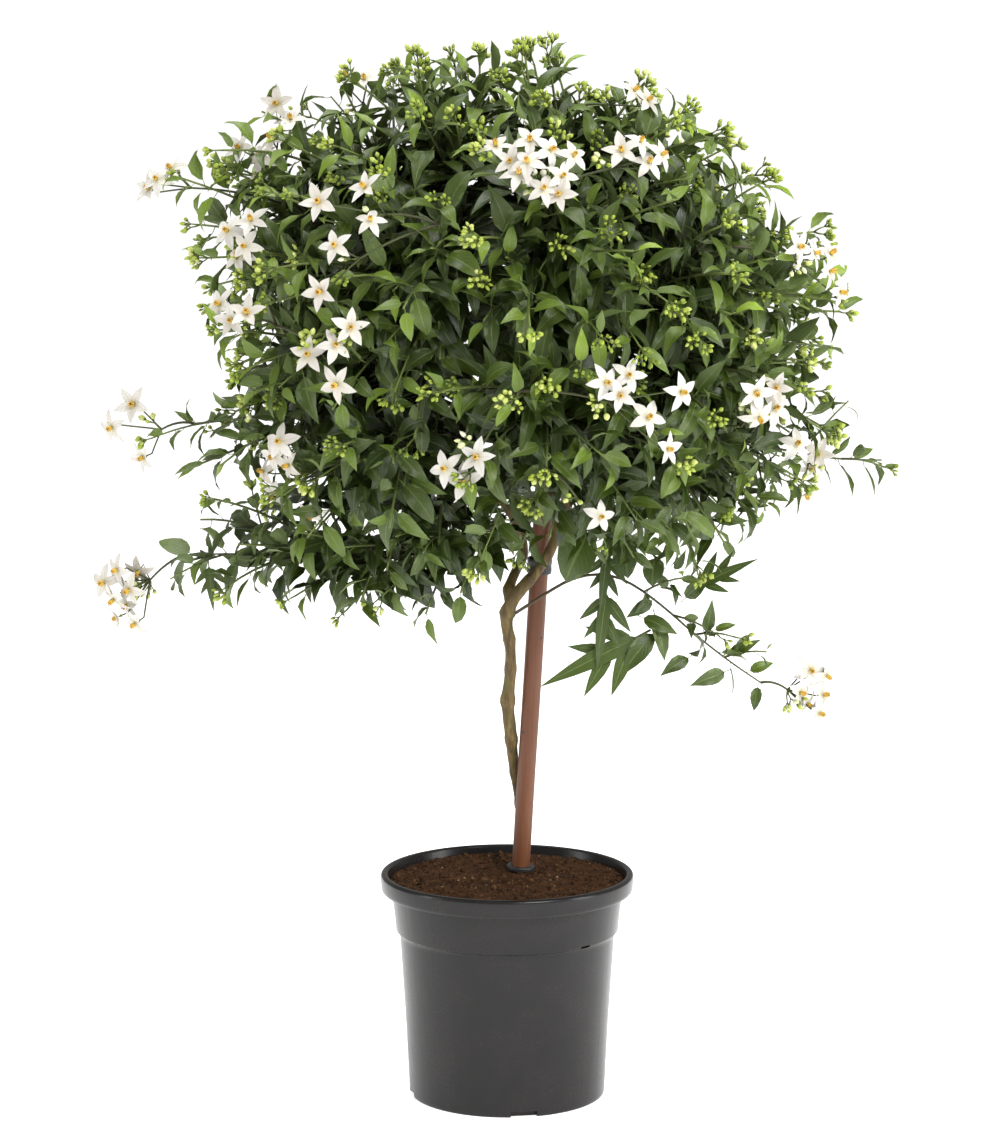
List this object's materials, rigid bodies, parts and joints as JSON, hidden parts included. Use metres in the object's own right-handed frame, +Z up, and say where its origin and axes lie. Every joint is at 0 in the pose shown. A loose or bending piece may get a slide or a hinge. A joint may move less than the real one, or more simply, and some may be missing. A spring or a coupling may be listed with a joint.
{
  "type": "potted potato vine",
  "caption": "Standard-trained potato vine with white star flowers on a cane, in a round black nursery pot.",
  "frame": {"origin": "centre of the pot's flat base, on the surface it stands on", "axes": "+Z up along the pot, -Y the front of the plant, +X to its right"},
  "size_m": [0.5941, 0.3867, 0.7812],
  "materials": {
    "pot_plastic": "moulded black polypropylene, soft gloss",
    "peat": "loose moist peat compost",
    "cane_wood": "stained round wooden cane",
    "black_rubber": "smooth black rubber",
    "bark": "olive brown knobbly bark",
    "leaf": "glossy living leaf",
    "flower": "satin white petal with a yellow centre"
  },
  "bodies": {
    "root": {"main_stem": "bark", "left_stem": "bark", "cane": "cane_wood", "cane_collar": "black_rubber", "top_tie": "black_rubber", "pot": "pot_plastic", "soil": "peat", "shoot_skirt_1": "leaf", "shoot_skirt_2": "leaf", "shoot_skirt_3": "leaf", "shoot_skirt_4": "leaf", "shoot_skirt_5": "leaf", "shoot_skirt_6": "leaf", "shoot_skirt_7": "leaf", "shoot_waist_1": "leaf", "shoot_waist_2": "leaf", "shoot_waist_3": "leaf", "shoot_waist_4": "leaf", "shoot_waist_5": "leaf", "shoot_waist_6": "leaf", "shoot_shoulder_1": "leaf", "shoot_shoulder_2": "leaf", "shoot_shoulder_3": "leaf", "shoot_shoulder_4": "leaf", "shoot_shoulder_5": "leaf", "shoot_crown_1": "leaf", "shoot_crown_2": "leaf", "shoot_crown_3": "leaf", "shoot_top_spike": "leaf", "shoot_top_front": "leaf", "shoot_trailing_left_upper": "leaf", "shoot_trailing_left_lower": "leaf", "shoot_trailing_right_upper": "leaf", "shoot_trailing_right_lower": "leaf", "flowers_top_front": "flower", "flowers_top_right": "flower", "flowers_crown_left": "flower", "flowers_crown_right": "flower", "flowers_upper_left": "flower", "flowers_far_left": "flower", "flowers_left_high": "flower", "flowers_left_brow": "flower", "flowers_left_cheek": "flower", "flowers_left_mid": "flower", "flowers_left_three": "flower", "flowers_left_low": "flower", "flowers_trail_left_upper": "flower", "flowers_trail_left_lower": "flower", "flowers_front_low": "flower", "flowers_front_right": "flower", "flowers_under_right": "flower", "flowers_right_mid": "flower", "flowers_right_low": "flower", "flowers_right_edge": "flower", "flowers_trail_right_lower": "flower", "flowers_back_high": "flower", "flowers_back_left": "flower", "flowers_back_right": "flower", "flowers_back_low": "flower"}
  },
  "joints": []
}
